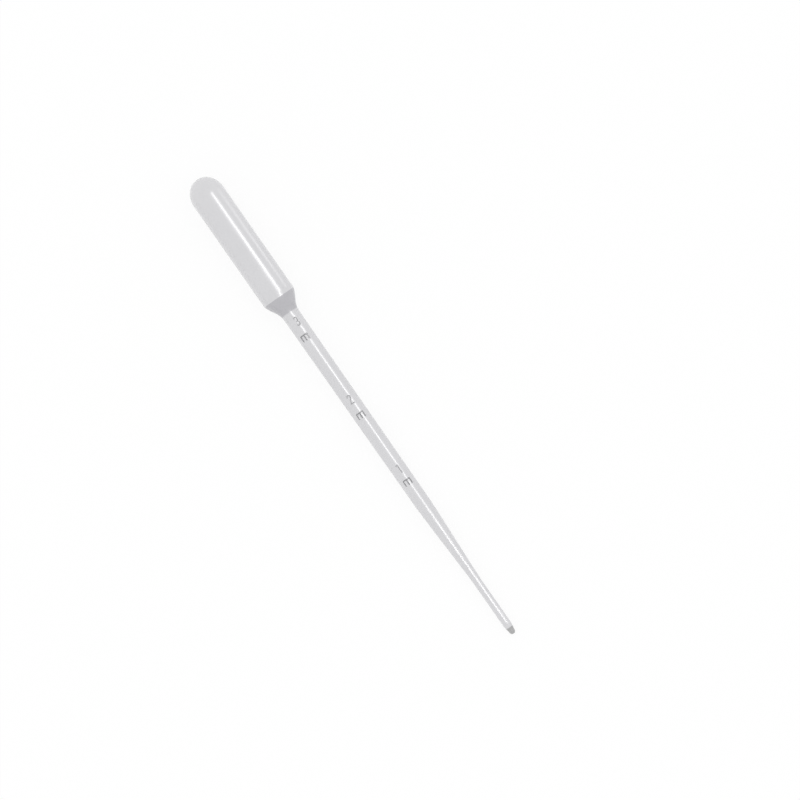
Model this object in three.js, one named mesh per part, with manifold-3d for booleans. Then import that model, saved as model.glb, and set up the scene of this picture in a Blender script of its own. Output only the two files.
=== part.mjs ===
/*
 * Disposable dropper pipette: one hollow moulding in milky polyethylene. A round-ended squeeze bulb closes
 * through a shoulder into a slim stem with raised graduations, and the stem is drawn down to a fine tip
 * that is open at its end.
 *
 * Millimetres, +Z up. The pipette lies on the plane z = 0 as it comes to rest, on the rim of its bulb and
 * on its nose. Its bulb is towards -X and its tip towards +X, its graduations face up, and the origin is
 * under the middle of its box.
 */

import * as THREE from 'three';
import { mergeVertices } from 'three/addons/utils/BufferGeometryUtils.js';
import Module from 'manifold-3d';

// Lengths along the pipette, in order from the crown of the bulb. They add up to 160.
const BULB_LENGTH = 41.1;
const SHOULDER_LENGTH = 6.9;
const STEM_LENGTH = 65.4;
const TAPER_LENGTH = 29.4;
const TIP_LENGTH = 14.3;
const NOSE_LENGTH = 2.9;

// The bulb starts in a dome and the nose ends in a round cap.
const DOME_LENGTH = 5.8;
const CAP_LENGTH = 1.1;

// Outside diameters. The stem has a slight draft.
const BULB_DIAMETER = 10.3;
const STEM_TOP_DIAMETER = 5.2;
const STEM_END_DIAMETER = 4.75;
const TIP_DIAMETER = 2.5;
const CAP_DIAMETER = 1.85;

// Walls and bores. The bore closes a little before the rim of the bulb, which thickens the shoulder.
const BULB_WALL = 0.5;
const STEM_WALL = 0.6;
const TIP_WALL = 0.45;
const SHOULDER_HEEL = 0.8;
const ORIFICE_DIAMETER = 0.7;
const ORIFICE_LENGTH = 2;
const LIP_WIDTH = 0.15;

// The shoulder leaves the rim at this angle to the axis. The leads say how far it keeps its direction at
// the rim and at the stem, and how far the taper keeps that of the stem and of the tip.
const SHOULDER_ANGLE = THREE.MathUtils.degToRad(14.5);
const RIM_LEAD = 3.1;
const STEM_LEAD = 3.3;
const TAPER_LEAD = 4.5;

// Characters of the graduations, measured to the middle of their strokes.
const FIGURE_WIDTH = 0.95;
const FIGURE_HEIGHT = 2.6;
const FIGURE_STROKE = 0.25;
const UNIT_WIDTH = 1.96;
const UNIT_HEIGHT = 1.64;
const UNIT_STROKE = 0.32;
const STROKE_HEIGHT = 0.15;
const STROKE_ROOT = 0.2; // how deep a stroke is rooted in the wall

// A graduation is a figure with the unit's m below it. The middle of each character lies this far from the
// open end, and this far aside, towards +Y, from the top of the stem.
const GRADUATIONS = [
  { lines: one, stroke: FIGURE_STROKE, fromEnd: 58.3, aside: 0 },
  { lines: unit, stroke: UNIT_STROKE, fromEnd: 53.75, aside: 0 },
  { lines: two, stroke: FIGURE_STROKE, fromEnd: 82.8, aside: 0 },
  { lines: unit, stroke: UNIT_STROKE, fromEnd: 77.3, aside: -0.05 },
  { lines: three, stroke: FIGURE_STROKE, fromEnd: 110.05, aside: 0.28 },
  { lines: unit, stroke: UNIT_STROKE, fromEnd: 104.85, aside: -0.37 },
];

// Facets round the axis: an even number, so that one lies flat on the ground and one faces up.
const FACETS = 24;
const CURVE_STEPS = 8;
const STROKE_STEPS = 4;

// Stations along the axis, measured from the crown.
const RIM = BULB_LENGTH;
const STEM_START = RIM + SHOULDER_LENGTH;
const TAPER_START = STEM_START + STEM_LENGTH;
const TIP_START = TAPER_START + TAPER_LENGTH;
const NOSE_START = TIP_START + TIP_LENGTH;
const END = NOSE_START + NOSE_LENGTH;

const wasm = await Module();
wasm.setup();

/** Half section from the crown to the start of the nose as radius and station, inside the given walls. */
function sectionToNose(bulbWall, stemWall, tipWall, heel) {
  const bulb = BULB_DIAMETER / 2 - bulbWall;
  const stemTop = STEM_TOP_DIAMETER / 2 - stemWall;
  const stemEnd = STEM_END_DIAMETER / 2 - stemWall;
  const tip = TIP_DIAMETER / 2 - tipWall;
  const rim = RIM - heel;
  return new THREE.Path()
    .absellipse(0, DOME_LENGTH, bulb, DOME_LENGTH - bulbWall, -Math.PI / 2, 0, false)
    .lineTo(bulb, rim)
    .bezierCurveTo(
      bulb - RIM_LEAD * Math.sin(SHOULDER_ANGLE), rim + RIM_LEAD * Math.cos(SHOULDER_ANGLE),
      stemTop, STEM_START - STEM_LEAD,
      stemTop, STEM_START,
    )
    .lineTo(stemEnd, TAPER_START)
    .bezierCurveTo(stemEnd, TAPER_START + TAPER_LEAD, tip, TIP_START - TAPER_LEAD, tip, TIP_START)
    .lineTo(tip, NOSE_START);
}

/** Outside of the pipette from the crown to the flat lip that the orifice leaves of the round cap. */
function outside() {
  const lip = ORIFICE_DIAMETER / 2 + LIP_WIDTH;
  const cap = CAP_DIAMETER / 2;
  const cut = Math.acos(lip / cap);
  return sectionToNose(0, 0, 0, 0)
    .lineTo(cap, END - CAP_LENGTH)
    .absellipse(0, END - CAP_LENGTH, cap, CAP_LENGTH / Math.sin(cut), 0, cut, false)
    .getPoints(CURVE_STEPS);
}

/** Inside of the pipette from the top of its hollow to the orifice. */
function inside() {
  return sectionToNose(BULB_WALL, STEM_WALL, TIP_WALL, SHOULDER_HEEL)
    .lineTo(ORIFICE_DIAMETER / 2, END - ORIFICE_LENGTH)
    .lineTo(ORIFICE_DIAMETER / 2, END)
    .getPoints(CURVE_STEPS);
}

/** Turns a section about the X axis, station along +X. The facets, not their corners, have its radius. */
function turned(points) {
  const halfFacet = Math.PI / FACETS;
  const toCorner = 1 / Math.cos(halfFacet);
  return new THREE.LatheGeometry(points, FACETS, halfFacet)
    .scale(toCorner, 1, toCorner)
    .rotateZ(-Math.PI / 2);
}

/** A closed geometry as a manifold solid, without the collapsed triangles at its poles. */
function solid(geometry) {
  geometry.deleteAttribute('normal');
  geometry.deleteAttribute('uv');
  const merged = mergeVertices(geometry);
  const corners = merged.index.array;
  const triVerts = [];
  for (let i = 0; i < corners.length; i += 3) {
    const [a, b, c] = corners.slice(i, i + 3);
    if (a !== b && b !== c && c !== a) triVerts.push(a, b, c);
  }
  return new wasm.Manifold(new wasm.Mesh({
    numProp: 3,
    vertProperties: merged.attributes.position.array,
    triVerts: new Uint32Array(triVerts),
  }));
}

/** The lines of a character, each a list of points with +x to its right and +y to its top. */
function one() {
  const x = FIGURE_WIDTH / 4;
  const y = FIGURE_HEIGHT / 2;
  return [[new THREE.Vector2(-x, y - x), new THREE.Vector2(x, y), new THREE.Vector2(x, -y)]];
}

function two() {
  const x = FIGURE_WIDTH / 2;
  const y = FIGURE_HEIGHT / 2;
  const curl = new THREE.Path().absarc(0, y - x, x, Math.PI, -Math.PI / 6, true);
  return [curl.lineTo(-x, -y).lineTo(x, -y).getPoints(STROKE_STEPS)];
}

function three() {
  const x = FIGURE_WIDTH / 2;
  const y = FIGURE_HEIGHT / 4;
  const gap = Math.PI / 6;
  const bowl = (centre, from, to) =>
    new THREE.Path().absellipse(0, centre, x, y, from, to, true).getPoints(STROKE_STEPS);
  return [bowl(y, Math.PI - gap, -Math.PI / 2), bowl(-y, Math.PI / 2, -Math.PI + gap)];
}

function unit() {
  const x = UNIT_WIDTH / 2;
  const y = UNIT_HEIGHT / 2;
  const leg = (across) => [new THREE.Vector2(across, y), new THREE.Vector2(across, -y)];
  return [[new THREE.Vector2(-x, y), new THREE.Vector2(x, y)], leg(-x), leg(0), leg(x)];
}

/** One straight bar of a stroke, standing from the axis up through the wall, for a character placed there. */
function bar(from, to, { stroke, fromEnd, aside }) {
  const tall = STEM_TOP_DIAMETER;
  const middle = from.clone().add(to).divideScalar(2);
  const run = to.clone().sub(from);
  const geometry = new THREE.BoxGeometry(run.length() + stroke, stroke, tall)
    .rotateZ(run.angle() + Math.PI / 2)
    .translate(END - fromEnd - middle.y, middle.x + aside, tall / 2);
  return solid(geometry);
}

/** All bars of one character. */
function character(placed) {
  return placed.lines().flatMap((line) => line.slice(1).map((point, i) => bar(line[i], point, placed)));
}

/** The raised graduations: upright bars kept only in a thin layer over the stem. */
function graduations() {
  const bars = GRADUATIONS.flatMap(character);
  const layer = (depth) => [
    new THREE.Vector2(STEM_TOP_DIAMETER / 2 + depth, STEM_START),
    new THREE.Vector2(STEM_END_DIAMETER / 2 + depth, TAPER_START),
  ];
  const [innerTop, innerEnd] = layer(-STROKE_ROOT);
  const [outerTop, outerEnd] = layer(STROKE_HEIGHT);
  const skin = solid(turned([innerTop, outerTop, outerEnd, innerEnd, innerTop]));
  return wasm.Manifold.union(bars).intersect(skin);
}

/** Tilt that brings the nose down to the ground on which the rim of the bulb lies. */
function restingTilt(points) {
  const slopes = points
    .filter((point) => point.y > RIM)
    .map((point) => (BULB_DIAMETER / 2 - point.x) / (point.y - RIM));
  return Math.atan(Math.min(...slopes));
}

const outer = outside();
const shell = solid(turned([...outer, ...inside().reverse()]));
const moulding = shell.add(graduations()).getMesh();

const geometry = new THREE.BufferGeometry();
geometry.setAttribute('position', new THREE.BufferAttribute(moulding.vertProperties, 3));
geometry.setIndex(new THREE.BufferAttribute(moulding.triVerts, 1));
geometry.rotateY(restingTilt(outer));
geometry.computeBoundingBox();
const { min, max } = geometry.boundingBox;

const polyethylene = new THREE.MeshStandardMaterial({
  color: 0xd6d6d9,
  roughness: 0.3,
  metalness: 0,
  flatShading: true,
});

const pipette = new THREE.Mesh(geometry, polyethylene);
pipette.name = 'pipette';
pipette.position.set(-(min.x + max.x) / 2, -(min.y + max.y) / 2, -min.z);

const part = new THREE.Group();
part.add(pipette);

export default part;
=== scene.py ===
"""Looks of the disposable dropper pipette: one milky polyethylene moulding on a pale floor.

The moulding is a smooth, hollow surface of revolution that stands for the faceted CAD node. It is
turned about the CAD's own axis at the CAD's own sizes, and its graduations are raised in its surface.
"""

import math

import bpy
import numpy as np
from mathutils import Matrix, Vector

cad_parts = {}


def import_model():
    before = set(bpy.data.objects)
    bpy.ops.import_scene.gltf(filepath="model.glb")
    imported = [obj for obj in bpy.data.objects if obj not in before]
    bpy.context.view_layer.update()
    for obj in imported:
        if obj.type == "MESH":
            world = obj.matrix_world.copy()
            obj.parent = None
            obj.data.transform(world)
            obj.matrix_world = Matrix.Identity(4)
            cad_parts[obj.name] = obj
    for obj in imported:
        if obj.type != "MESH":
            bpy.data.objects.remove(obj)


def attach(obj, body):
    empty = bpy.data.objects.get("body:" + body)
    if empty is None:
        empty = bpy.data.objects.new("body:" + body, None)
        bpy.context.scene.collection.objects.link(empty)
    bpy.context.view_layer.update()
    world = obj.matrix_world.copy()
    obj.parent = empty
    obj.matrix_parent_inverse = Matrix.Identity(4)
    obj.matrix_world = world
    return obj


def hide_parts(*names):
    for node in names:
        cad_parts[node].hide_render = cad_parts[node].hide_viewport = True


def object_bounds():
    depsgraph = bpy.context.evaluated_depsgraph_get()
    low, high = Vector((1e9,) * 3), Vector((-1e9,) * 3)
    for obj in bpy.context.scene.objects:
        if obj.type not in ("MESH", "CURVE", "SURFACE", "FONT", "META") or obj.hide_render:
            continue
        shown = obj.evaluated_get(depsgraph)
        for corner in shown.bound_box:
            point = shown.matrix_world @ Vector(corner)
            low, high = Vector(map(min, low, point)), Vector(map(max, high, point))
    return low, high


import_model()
CAD_LOW, CAD_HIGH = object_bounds()

MM = 0.001

# Sizes of the moulding in metres, in order from the crown of the bulb.
BULB_LENGTH = 41.1 * MM
SHOULDER_LENGTH = 6.9 * MM
STEM_LENGTH = 65.4 * MM
TAPER_LENGTH = 29.4 * MM
TIP_LENGTH = 14.3 * MM
NOSE_LENGTH = 2.9 * MM

# The bulb starts in a dome and the nose ends in a round cap.
DOME_LENGTH = 5.8 * MM
CAP_LENGTH = 1.1 * MM

# Outside radii, and the orifice with the flat lip round it.
BULB_RADIUS = (CAD_HIGH.y - CAD_LOW.y) / 2
STEM_TOP_RADIUS = 2.6 * MM
STEM_END_RADIUS = 2.375 * MM
TIP_RADIUS = 1.25 * MM
CAP_RADIUS = 0.925 * MM
ORIFICE_RADIUS = 0.35 * MM
LIP_WIDTH = 0.15 * MM

# Walls. The hollow narrows a little before the rim of the bulb, which thickens the shoulder.
BULB_WALL = 0.5 * MM
STEM_WALL = 0.6 * MM
TIP_WALL = 0.45 * MM
SHOULDER_HEEL = 0.8 * MM
ORIFICE_LENGTH = 2 * MM

# The shoulder leaves the rim at this angle to the axis. The leads say how far it keeps its direction at
# the rim and at the stem, and how far the taper keeps that of the stem and of the tip.
SHOULDER_ANGLE = math.radians(14.5)
RIM_LEAD = 3.1 * MM
STEM_LEAD = 3.3 * MM
TAPER_LEAD = 4.5 * MM

# Stations along the axis, measured from the crown.
RIM = BULB_LENGTH
STEM_START = RIM + SHOULDER_LENGTH
TAPER_START = STEM_START + STEM_LENGTH
TIP_START = TAPER_START + TAPER_LENGTH
NOSE_START = TIP_START + TIP_LENGTH
END = NOSE_START + NOSE_LENGTH

# Characters of the graduations, measured to the middle of their strokes, and how wide the side of a
# stroke is and how high its top stands.
FIGURE_WIDTH = 0.95 * MM
FIGURE_HEIGHT = 2.6 * MM
FIGURE_STROKE = 0.25 * MM
UNIT_WIDTH = 1.96 * MM
UNIT_HEIGHT = 1.64 * MM
UNIT_STROKE = 0.32 * MM
STROKE_EDGE = 0.07 * MM
STROKE_RELIEF = 0.12 * MM

# The grid of the surface: fine under the graduations, out to the fine arc on either side of the top, and
# coarser elsewhere.
FINE_STEP = 0.07 * MM
FINE_ARC = math.radians(38)
FINE_COLUMNS = 50
PLAIN_COLUMNS = 64
ROW_STEP = 1.4 * MM
NOSE_STEP = 0.3 * MM
ORIFICE_STEP = 0.5 * MM
CURVE_ROWS = 24
ARC_STEPS = 12


def bezier(p0, p1, p2, p3):
    """Points of a cubic curve after its first point."""
    t = np.linspace(0, 1, CURVE_ROWS + 1)[1:, None]
    p0, p1, p2, p3 = map(np.array, (p0, p1, p2, p3))
    return (1 - t) ** 3 * p0 + 3 * (1 - t) ** 2 * t * p1 + 3 * (1 - t) * t**2 * p2 + t**3 * p3


def straight(start, end, step):
    """Points of a straight run after its first point, no further apart than step."""
    start, end = np.array(start), np.array(end)
    rows = max(1, math.ceil(np.linalg.norm(end - start) / step))
    return start + (end - start) * np.linspace(0, 1, rows + 1)[1:, None]


def stem_rows(top_radius, end_radius, fine_runs):
    """Points down the stem, closer together along the fine runs."""
    def point(station):
        share = (station - STEM_START) / STEM_LENGTH
        return (top_radius + (end_radius - top_radius) * share, station)

    rows, at = [], STEM_START
    for start, stop in fine_runs:
        rows.append(straight(point(at), point(start), ROW_STEP))
        rows.append(straight(point(start), point(stop), FINE_STEP))
        at = stop
    rows.append(straight(point(at), point(TAPER_START), ROW_STEP))
    return np.vstack(rows)


def section_to_nose(bulb_wall, stem_wall, tip_wall, heel, fine_runs):
    """Half section from the crown to the start of the nose as (radius, station), inside these walls."""
    bulb = BULB_RADIUS - bulb_wall
    stem_top, stem_end = STEM_TOP_RADIUS - stem_wall, STEM_END_RADIUS - stem_wall
    tip = TIP_RADIUS - tip_wall
    rim = RIM - heel
    turn = np.linspace(0, math.pi / 2, CURVE_ROWS + 1)
    dome = np.column_stack([bulb * np.sin(turn), DOME_LENGTH - (DOME_LENGTH - bulb_wall) * np.cos(turn)])
    lead = (bulb - RIM_LEAD * math.sin(SHOULDER_ANGLE), rim + RIM_LEAD * math.cos(SHOULDER_ANGLE))
    return np.vstack([
        dome,
        straight((bulb, DOME_LENGTH), (bulb, rim), ROW_STEP),
        bezier((bulb, rim), lead, (stem_top, STEM_START - STEM_LEAD), (stem_top, STEM_START)),
        stem_rows(stem_top, stem_end, fine_runs),
        bezier(
            (stem_end, TAPER_START), (stem_end, TAPER_START + TAPER_LEAD),
            (tip, TIP_START - TAPER_LEAD), (tip, TIP_START),
        ),
        straight((tip, TIP_START), (tip, NOSE_START), ROW_STEP),
    ])


def outside():
    """From the crown to the flat lip that the orifice leaves of the round cap."""
    cut = math.acos((ORIFICE_RADIUS + LIP_WIDTH) / CAP_RADIUS)
    turn = np.linspace(0, cut, CURVE_ROWS + 1)[1:]
    cap_start = END - CAP_LENGTH
    cap = np.column_stack([CAP_RADIUS * np.cos(turn), cap_start + CAP_LENGTH / math.sin(cut) * np.sin(turn)])
    return np.vstack([
        section_to_nose(0, 0, 0, 0, marked_stations()),
        straight((TIP_RADIUS, NOSE_START), (CAP_RADIUS, cap_start), NOSE_STEP),
        cap,
    ])


def inside():
    """From the top of the hollow to the orifice."""
    bore = TIP_RADIUS - TIP_WALL
    funnel_end = (ORIFICE_RADIUS, END - ORIFICE_LENGTH)
    return np.vstack([
        section_to_nose(BULB_WALL, STEM_WALL, TIP_WALL, SHOULDER_HEEL, ()),
        straight((bore, NOSE_START), funnel_end, NOSE_STEP),
        straight(funnel_end, (ORIFICE_RADIUS, END), ORIFICE_STEP),
    ])


# The lines of each character are rows of points with +x to its right and +y to its top.


def arc(centre, radii, start, stop):
    """Points of an arc or part of an ellipse between two angles in degrees."""
    turn = np.radians(np.linspace(start, stop, ARC_STEPS + 1))
    return np.column_stack([centre[0] + radii[0] * np.cos(turn), centre[1] + radii[1] * np.sin(turn)])


def one():
    x, y = FIGURE_WIDTH / 4, FIGURE_HEIGHT / 2
    return [np.array([(-x, y - x), (x, y), (x, -y)])]


def two():
    x, y = FIGURE_WIDTH / 2, FIGURE_HEIGHT / 2
    return [np.vstack([arc((0, y - x), (x, x), 180, -30), [(-x, -y), (x, -y)]])]


def three():
    x, y = FIGURE_WIDTH / 2, FIGURE_HEIGHT / 4
    return [arc((0, y), (x, y), 150, -90), arc((0, -y), (x, y), 90, -150)]


def unit():
    x, y = UNIT_WIDTH / 2, UNIT_HEIGHT / 2
    legs = [np.array([(across, y), (across, -y)]) for across in (-x, 0, x)]
    return [np.array([(-x, y), (x, y)]), *legs]


# A graduation is a figure with the unit's m below it: lines, stroke, distance of the middle from the
# open end, and how far it lies aside, towards +Y, from the top of the stem.
GRADUATIONS = (
    (one, FIGURE_STROKE, 58.3 * MM, 0),
    (unit, UNIT_STROKE, 53.75 * MM, 0),
    (two, FIGURE_STROKE, 82.8 * MM, 0),
    (unit, UNIT_STROKE, 77.3 * MM, -0.05 * MM),
    (three, FIGURE_STROKE, 110.05 * MM, 0.28 * MM),
    (unit, UNIT_STROKE, 104.85 * MM, -0.37 * MM),
)


def marked_stations():
    """Stretches of the stem that hold a character, as (from, to)."""
    reach = FIGURE_HEIGHT / 2 + UNIT_STROKE
    return sorted((END - from_end - reach, END - from_end + reach) for _, _, from_end, _ in GRADUATIONS)


def strokes():
    """Every straight stretch of the graduations, as (from, to, its width) in (across, station)."""
    for lines, stroke, from_end, aside in GRADUATIONS:
        for line in lines():
            placed = np.column_stack([aside + line[:, 0], END - from_end - line[:, 1]])
            for start, stop in zip(placed[:-1], placed[1:]):
                yield start, stop, stroke


def raised(across, station):
    """How far each point lies up the side of a stroke, from 0 beside it to 1 on it, and how much painted
    shade it takes.

    The painted shade is paler on the thinner strokes of the figures than on those of the unit.
    """
    points = np.stack([across, station], -1)
    relief, stroke_painted_shade = np.zeros(across.shape), np.zeros(across.shape)
    for start, stop, width in strokes():
        run = stop - start
        along = np.clip(((points - start) @ run) / (run @ run), 0, 1)
        gap = np.linalg.norm(points - start - along[..., None] * run, axis=-1)
        share = np.clip((width / 2 - gap) / STROKE_EDGE + 0.5, 0, 1)
        share = share * share * (3 - 2 * share)
        relief = np.maximum(relief, share)
        stroke_painted_shade = np.maximum(stroke_painted_shade, share * width / UNIT_STROKE)
    return relief, stroke_painted_shade


def column_angles():
    """Angles round the axis from the top, close together over the fine arc."""
    fine = np.linspace(-FINE_ARC, FINE_ARC, FINE_COLUMNS + 1)
    plain = np.linspace(FINE_ARC, 2 * math.pi - FINE_ARC, PLAIN_COLUMNS + 1)[1:-1]
    return np.concatenate([fine, plain])


def surface_faces(rings, columns):
    """Quads between the rings of points, and triangles from the first and the last ring to their poles."""
    first = np.arange(columns)
    second = np.roll(first, -1)
    starts = np.arange(rings - 1)[:, None] * columns
    quads = np.stack(
        [starts + first, starts + second, starts + columns + second, starts + columns + first], -1
    ).reshape(-1, 4)
    crown, roof = rings * columns, rings * columns + 1
    last = (rings - 1) * columns
    caps = [(crown, b, a) for a, b in zip(first, second)]
    caps += [(roof, last + a, last + b) for a, b in zip(first, second)]
    return quads.tolist() + caps


def moulding_mesh():
    """The closed surface, with the strokes' painted shade and each point's station as attributes."""
    outer, inner = outside(), inside()[::-1]
    section = np.vstack([outer[1:], inner[:-1]])  # without the two points on the axis
    radius, angle = np.meshgrid(section[:, 0], column_angles(), indexing="ij")
    rings, columns = radius.shape
    station = np.repeat(section[:, 1:], columns, axis=1)

    # Strokes stand only on the upper side of the stem.
    is_outside = np.arange(rings)[:, None] < len(outer) - 1
    on_stem = (station > STEM_START) & (station < TAPER_START)
    patch = is_outside & on_stem & (np.cos(angle) > 0)
    relief, stroke_painted_shade = np.zeros_like(radius), np.zeros_like(radius)
    relief[patch], stroke_painted_shade[patch] = raised((radius * np.sin(angle))[patch], station[patch])
    radius = radius + STROKE_RELIEF * relief

    ring_points = np.stack([station, radius * np.sin(angle), radius * np.cos(angle)], -1)
    poles = [(outer[0, 1], 0, 0), (inner[-1, 1], 0, 0)]
    points = np.vstack([ring_points.reshape(-1, 3), poles])
    mesh = bpy.data.meshes.new("pipette_moulding")
    mesh.from_pydata(points.tolist(), [], surface_faces(rings, columns))
    for name, values in (("stroke_painted_shade", np.append(stroke_painted_shade, [0, 0])), ("station", points[:, 0])):
        mesh.attributes.new(name, "FLOAT", "POINT").data.foreach_set("value", values.astype(np.float32))
    mesh.shade_smooth()
    mesh.transform(resting_place())
    mesh.validate()
    mesh.update()
    return mesh


def resting_place():
    """Brings the axis from the origin along +X to where the CAD's pipette lies on its rim and its nose."""
    section = outside()
    beyond = section[section[:, 1] > STEM_START]
    tilt = math.atan(((BULB_RADIUS - beyond[:, 0]) / (beyond[:, 1] - RIM)).min())
    turn = Matrix.Rotation(tilt, 4, "Y")
    dome_middle = DOME_LENGTH * math.cos(tilt)
    crown_low = dome_middle - math.hypot(dome_middle, BULB_RADIUS * math.sin(tilt))
    rim_bottom = turn @ Vector((RIM, 0, -BULB_RADIUS))
    return Matrix.Translation((CAD_LOW.x - crown_low, 0, -rim_bottom.z)) @ turn


# Colours are linear. The thin wall's colour is the resin's own. The crown is made paler with painted light,
# and the shoulder and the nose darker with painted shade, where they slope towards the tip.
CROWN_PAINTED_LIGHT = (0.672, 0.668, 0.682, 1)
THIN_WALL = (0.65, 0.648, 0.664, 1)
SHOULDER_PAINTED_SHADE = (0.463, 0.458, 0.482, 1)
NOSE_PAINTED_SHADE = (0.39, 0.39, 0.39, 1)
# The strokes' dark grey is painted shade: the raised strokes are of the same resin as the rest.
PAINTED_SHADE_OF_STROKES = (0.2, 0.2, 0.21, 1)
WHITE = (1, 1, 1, 1)

# The crown's painted light fades out below the dome. The shoulder's painted shade reaches to just short of
# the stem, and the nose's covers its last stretch. Towards the stem the shoulder's painted shade ends more
# softly.
CROWN_FADE = 14 * MM
SHOULDER_SHADE_SPAN = (RIM + 0.2 * MM, STEM_START - 1.4 * MM)
NOSE_SHADE_START = END - 2.2 * MM
CRISP_EDGE = 0.25 * MM
SOFT_EDGE = 0.5 * MM

# A faint cloud in the resin varies its shade and its gloss. The roughness stays below 0.274: the denoiser
# treats a rougher gloss otherwise, and faint patches show where it crosses over.
CLOUD_SCALE = 120
CLOUD_DETAIL = 3
CLOUD_RANGE = (0.3, 0.7)
SHADE_RANGE = (0.99, 1.01)
ROUGHNESS_RANGE = (0.24, 0.27)

# The resin's refractive index and specular level, and how much of its light scatters inside and how far.
RESIN_IOR = 1.51
RESIN_SPECULAR = 1
SCATTER_SHARE = 0.2
SCATTER_REACH = 0.4 * MM


def add_node(tree, kind, settings=None, **inputs):
    """A node with its settings and its inputs, each a value or the socket that feeds it.

    An input is given by its name, with _ for a space, or as _ and its number.
    """
    made = tree.nodes.new(kind)
    for name, value in (settings or {}).items():
        setattr(made, name, value)
    for name, value in inputs.items():
        key = int(name[1:]) if name[1:].isdigit() else name.replace("_", " ")
        if isinstance(value, bpy.types.NodeSocket):
            tree.links.new(value, made.inputs[key])
        else:
            made.inputs[key].default_value = value
    return made


def attribute(tree, name):
    """The value of a mesh attribute."""
    return add_node(tree, "ShaderNodeAttribute", {"attribute_name": name}).outputs["Fac"]


def combined(tree, operation, first, second):
    """The result of a Math node."""
    return add_node(tree, "ShaderNodeMath", {"operation": operation}, _0=first, _1=second).outputs[0]


def mixed(tree, share, low, high):
    """Colour between low and high."""
    return add_node(tree, "ShaderNodeMix", {"data_type": "RGBA"}, _0=share, _6=low, _7=high).outputs[2]


def mapped(tree, value, given, wanted, ramp="LINEAR"):
    """The value with the given range brought to the wanted one."""
    return add_node(
        tree, "ShaderNodeMapRange", {"interpolation_type": ramp},
        Value=value, From_Min=given[0], From_Max=given[1], To_Min=wanted[0], To_Max=wanted[1],
    ).outputs[0]


def edge(tree, station, middle, width, sides=(0, 1)):
    """One value before an edge along the axis and the other after it."""
    return mapped(tree, station, (middle - width / 2, middle + width / 2), sides, "SMOOTHSTEP")


def new_material(name):
    """A material with an empty node tree."""
    made = bpy.data.materials.new(name)
    made.use_nodes = True
    made.node_tree.nodes.clear()
    return made


def polyethylene():
    """Milky resin with a crown made paler by painted light, painted shade on the shoulder, the nose and the
    strokes, and a faint cloud.
    """
    made = new_material("milky_polyethylene")
    tree = made.node_tree
    station = attribute(tree, "station")
    place = add_node(tree, "ShaderNodeTexCoord").outputs["Object"]
    cloud = add_node(
        tree, "ShaderNodeTexNoise", Vector=place, Scale=CLOUD_SCALE, Detail=CLOUD_DETAIL
    ).outputs["Fac"]

    # Painted light on the crown and painted shade on the shoulder and the nose, placed by station.
    start, stop = SHOULDER_SHADE_SPAN
    after_start = edge(tree, station, start, CRISP_EDGE)
    before_stop = edge(tree, station, stop, SOFT_EDGE, (1, 0))
    shoulder = combined(tree, "MULTIPLY", after_start, before_stop)
    nose = edge(tree, station, NOSE_SHADE_START, CRISP_EDGE)
    body_with_crown_light = mixed(tree, mapped(tree, station, (0, CROWN_FADE), (0, 1)), CROWN_PAINTED_LIGHT, THIN_WALL)
    resin = mixed(tree, nose, mixed(tree, shoulder, body_with_crown_light, SHOULDER_PAINTED_SHADE), NOSE_PAINTED_SHADE)
    clouded = mapped(tree, cloud, CLOUD_RANGE, SHADE_RANGE)
    shade = add_node(
        tree, "ShaderNodeVectorMath", {"operation": "SCALE"}, _0=resin, Scale=clouded
    ).outputs[0]
    # The strokes take painted shade over the resin's colour.
    surface = add_node(
        tree, "ShaderNodeBsdfPrincipled",
        Base_Color=mixed(tree, attribute(tree, "stroke_painted_shade"), shade, PAINTED_SHADE_OF_STROKES),
        Roughness=mapped(tree, cloud, CLOUD_RANGE, ROUGHNESS_RANGE),
        IOR=RESIN_IOR,
        Specular_IOR_Level=RESIN_SPECULAR,
        Subsurface_Weight=SCATTER_SHARE,
        Subsurface_Radius=(1, 1, 1),
        Subsurface_Scale=SCATTER_REACH,
    )
    add_node(tree, "ShaderNodeOutputMaterial", Surface=surface.outputs[0])
    return made


def add_object(name, data):
    """An object in the scene that holds this mesh, camera or light."""
    made = bpy.data.objects.new(name, data)
    bpy.context.scene.collection.objects.link(made)
    return made


# The camera looks straight down on its aim, from so high that the picture is this wide at the height of
# the bulb's middle. The pipette's axis runs this far below the picture's level.
LENS = 135
SENSOR_WIDTH = 36
PICTURE_WIDTH = 231 * MM
AXIS_DROP = math.radians(55.1)
AIM = (5.6 * MM, 11.7 * MM)
EYE = Vector((*AIM, BULB_RADIUS + PICTURE_WIDTH / SENSOR_WIDTH * LENS))
CLIP_RATIO = 100


def camera():
    """The camera over the pipette."""
    data = bpy.data.cameras.new("camera")
    data.lens = LENS
    data.sensor_width = SENSOR_WIDTH
    data.clip_start, data.clip_end = EYE.z / CLIP_RATIO, EYE.z * CLIP_RATIO
    placed = add_object("camera", data)
    placed.location = EYE
    placed.rotation_euler = (0, 0, AXIS_DROP)
    bpy.context.scene.camera = placed


# The floor reaches this many metres each way. The camera sees it mixed with this share of plain white.
FLOOR_REACH = 3
FLOOR_COLOUR = (0.98, 0.98, 0.98, 1)
FLOOR_WHITENESS = 0.88


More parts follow.
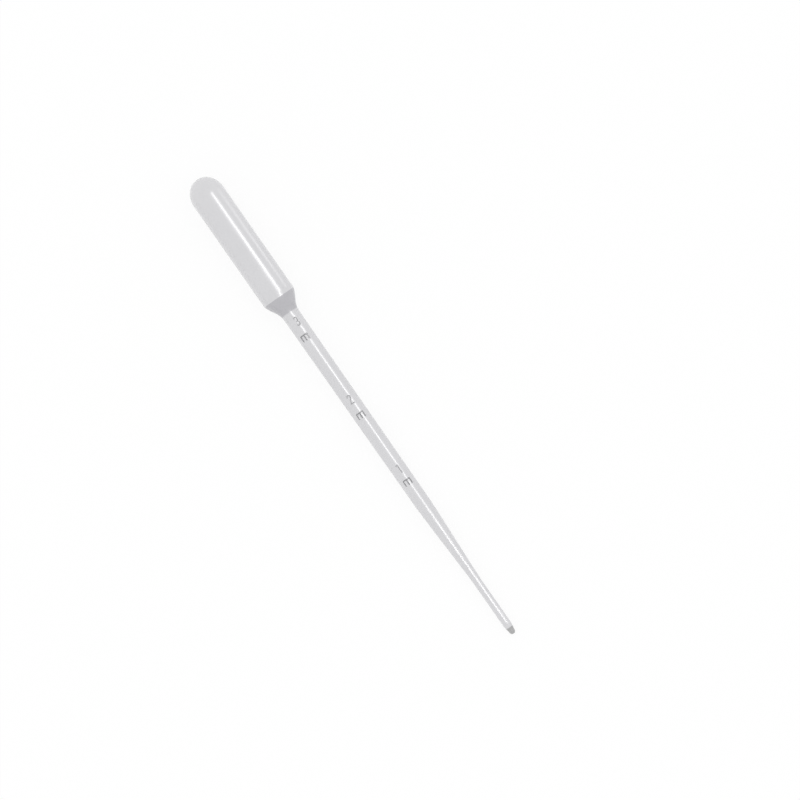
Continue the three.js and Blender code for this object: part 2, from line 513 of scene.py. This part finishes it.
def floor():
    """A pale floor that keeps a faint shadow for the camera and is plain white in reflections."""
    reach = FLOOR_REACH
    corners = [(-reach, -reach, 0), (reach, -reach, 0), (reach, reach, 0), (-reach, reach, 0)]
    mesh = bpy.data.meshes.new("floor")
    mesh.from_pydata(corners, [], [(0, 1, 2, 3)])
    made = new_material("pale_floor")
    tree = made.node_tree
    rays = add_node(tree, "ShaderNodeLightPath").outputs
    share = combined(tree, "MULTIPLY", rays["Is Camera Ray"], FLOOR_WHITENESS)
    for name in ("Is Glossy Ray", "Is Transmission Ray"):
        share = combined(tree, "MAXIMUM", share, rays[name])
    lit = add_node(tree, "ShaderNodeBsdfDiffuse", Color=FLOOR_COLOUR)
    white = add_node(tree, "ShaderNodeEmission", Color=WHITE, Strength=1)
    surface = add_node(tree, "ShaderNodeMixShader", _0=share, _1=lit.outputs[0], _2=white.outputs[0])
    add_node(tree, "ShaderNodeOutputMaterial", Surface=surface.outputs[0])
    mesh.materials.append(made)
    add_object("floor", mesh)


def world():
    """Even white light from all around."""
    made = bpy.data.worlds.new("studio")
    bpy.context.scene.world = made
    made.use_nodes = True
    tree = made.node_tree
    tree.nodes.clear()
    light = add_node(tree, "ShaderNodeBackground", Color=WHITE, Strength=1)
    add_node(tree, "ShaderNodeOutputWorld", Surface=light.outputs[0])


# The slope of the surface at a station is taken from this far before it to this far after it.
SLOPE_REACH = 1 * MM


def sight(section, station, turned):
    """A point of the surface, turned this far from the top, and which way the camera's look leaves it."""
    near = [station - SLOPE_REACH, station, station + SLOPE_REACH]
    before, here, after = np.interp(near, section[:, 1], section[:, 0]).tolist()
    place = resting_place()
    out = Vector((0, math.sin(turned), math.cos(turned)))
    lean = Vector(((before - after) / (2 * SLOPE_REACH), 0, 0))
    normal = (place.to_3x3() @ (out + lean)).normalized()
    point = place @ (Vector((station, 0, 0)) + here * out)
    look = (point - EYE).normalized()
    return point, look - 2 * look.dot(normal) * normal


def softbox(name, stations, turned, spread, radiance, distance, beam=180):
    """A light that only the gloss shows, as a stripe down the moulding.

    The stripe lies where the surface is turned this many degrees from the top, and covers these stations,
    each at least the reach of the slope inside its stretch. From the moulding, the light is this far away
    and spans the spread, in degrees. A beam under 180 degrees keeps it off what lies aside.
    """
    section = outside()
    points, leaving = zip(*(sight(section, station, math.radians(turned)) for station in stations))
    away = sum(leaving, Vector()).normalized()
    hub = sum(points, Vector()) / len(points) + distance * away
    along = away.cross(Vector((1, 0, 0))).cross(away).normalized()

    # How far from the hub, along the light, the looks that leave the surface meet its plane.
    hits = [
        (point + leave * (hub - point).dot(away) / leave.dot(away) - hub).dot(along)
        for point, leave in zip(points, leaving)
    ]

    # A narrow beam is brighter down its middle, and so takes less power.
    light = bpy.data.lights.new(name, "AREA")
    light.shape = "RECTANGLE"
    light.size = max(hits) - min(hits)
    light.size_y = 2 * distance * math.tan(math.radians(spread) / 2)
    light.spread = math.radians(beam)
    narrowing = 1 - light.spread / 2 / math.tan(light.spread / 2)
    light.energy = radiance * narrowing * math.pi * light.size * light.size_y

    placed = add_object(name, light)
    turn = Matrix((along, away.cross(along), away)).transposed().to_4x4()
    placed.matrix_world = Matrix.Translation(hub + along * (max(hits) + min(hits)) / 2) @ turn
    placed.visible_camera = False
    placed.visible_diffuse = False


def softboxes():
    """A stripe down each stretch of the moulding, and a faint one down the side of the bulb.

    The tip's light is close and its beam narrow, so that the shoulder doesn't show it.
    """
    bulb = (DOME_LENGTH + SLOPE_REACH, RIM - SLOPE_REACH)
    stem = (STEM_START + SLOPE_REACH, TAPER_START - SLOPE_REACH)
    tip = (TIP_START + SLOPE_REACH, NOSE_START - SLOPE_REACH)
    taper_and_tip = ((TAPER_START + TIP_START) / 2, *tip)
    softbox("bulb_stripe", bulb, turned=15.8, spread=10.5, radiance=18, distance=0.4)
    softbox("side_stripe", bulb, turned=43, spread=14, radiance=2.2, distance=0.2)
    softbox("stem_stripe", stem, turned=10.5, spread=9, radiance=11.5, distance=0.4)
    softbox("end_stripe", taper_and_tip, turned=9.5, spread=26, radiance=22, distance=0.4)
    softbox("tip_stripe", tip, turned=17, spread=60, radiance=4.5, distance=0.1, beam=80)


moulding = add_object("pipette_moulding", moulding_mesh())
moulding.data.materials.append(polyethylene())
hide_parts("pipette")
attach(moulding, "root")

camera()
floor()
world()
softboxes()

bpy.context.scene.view_settings.view_transform = "Standard"
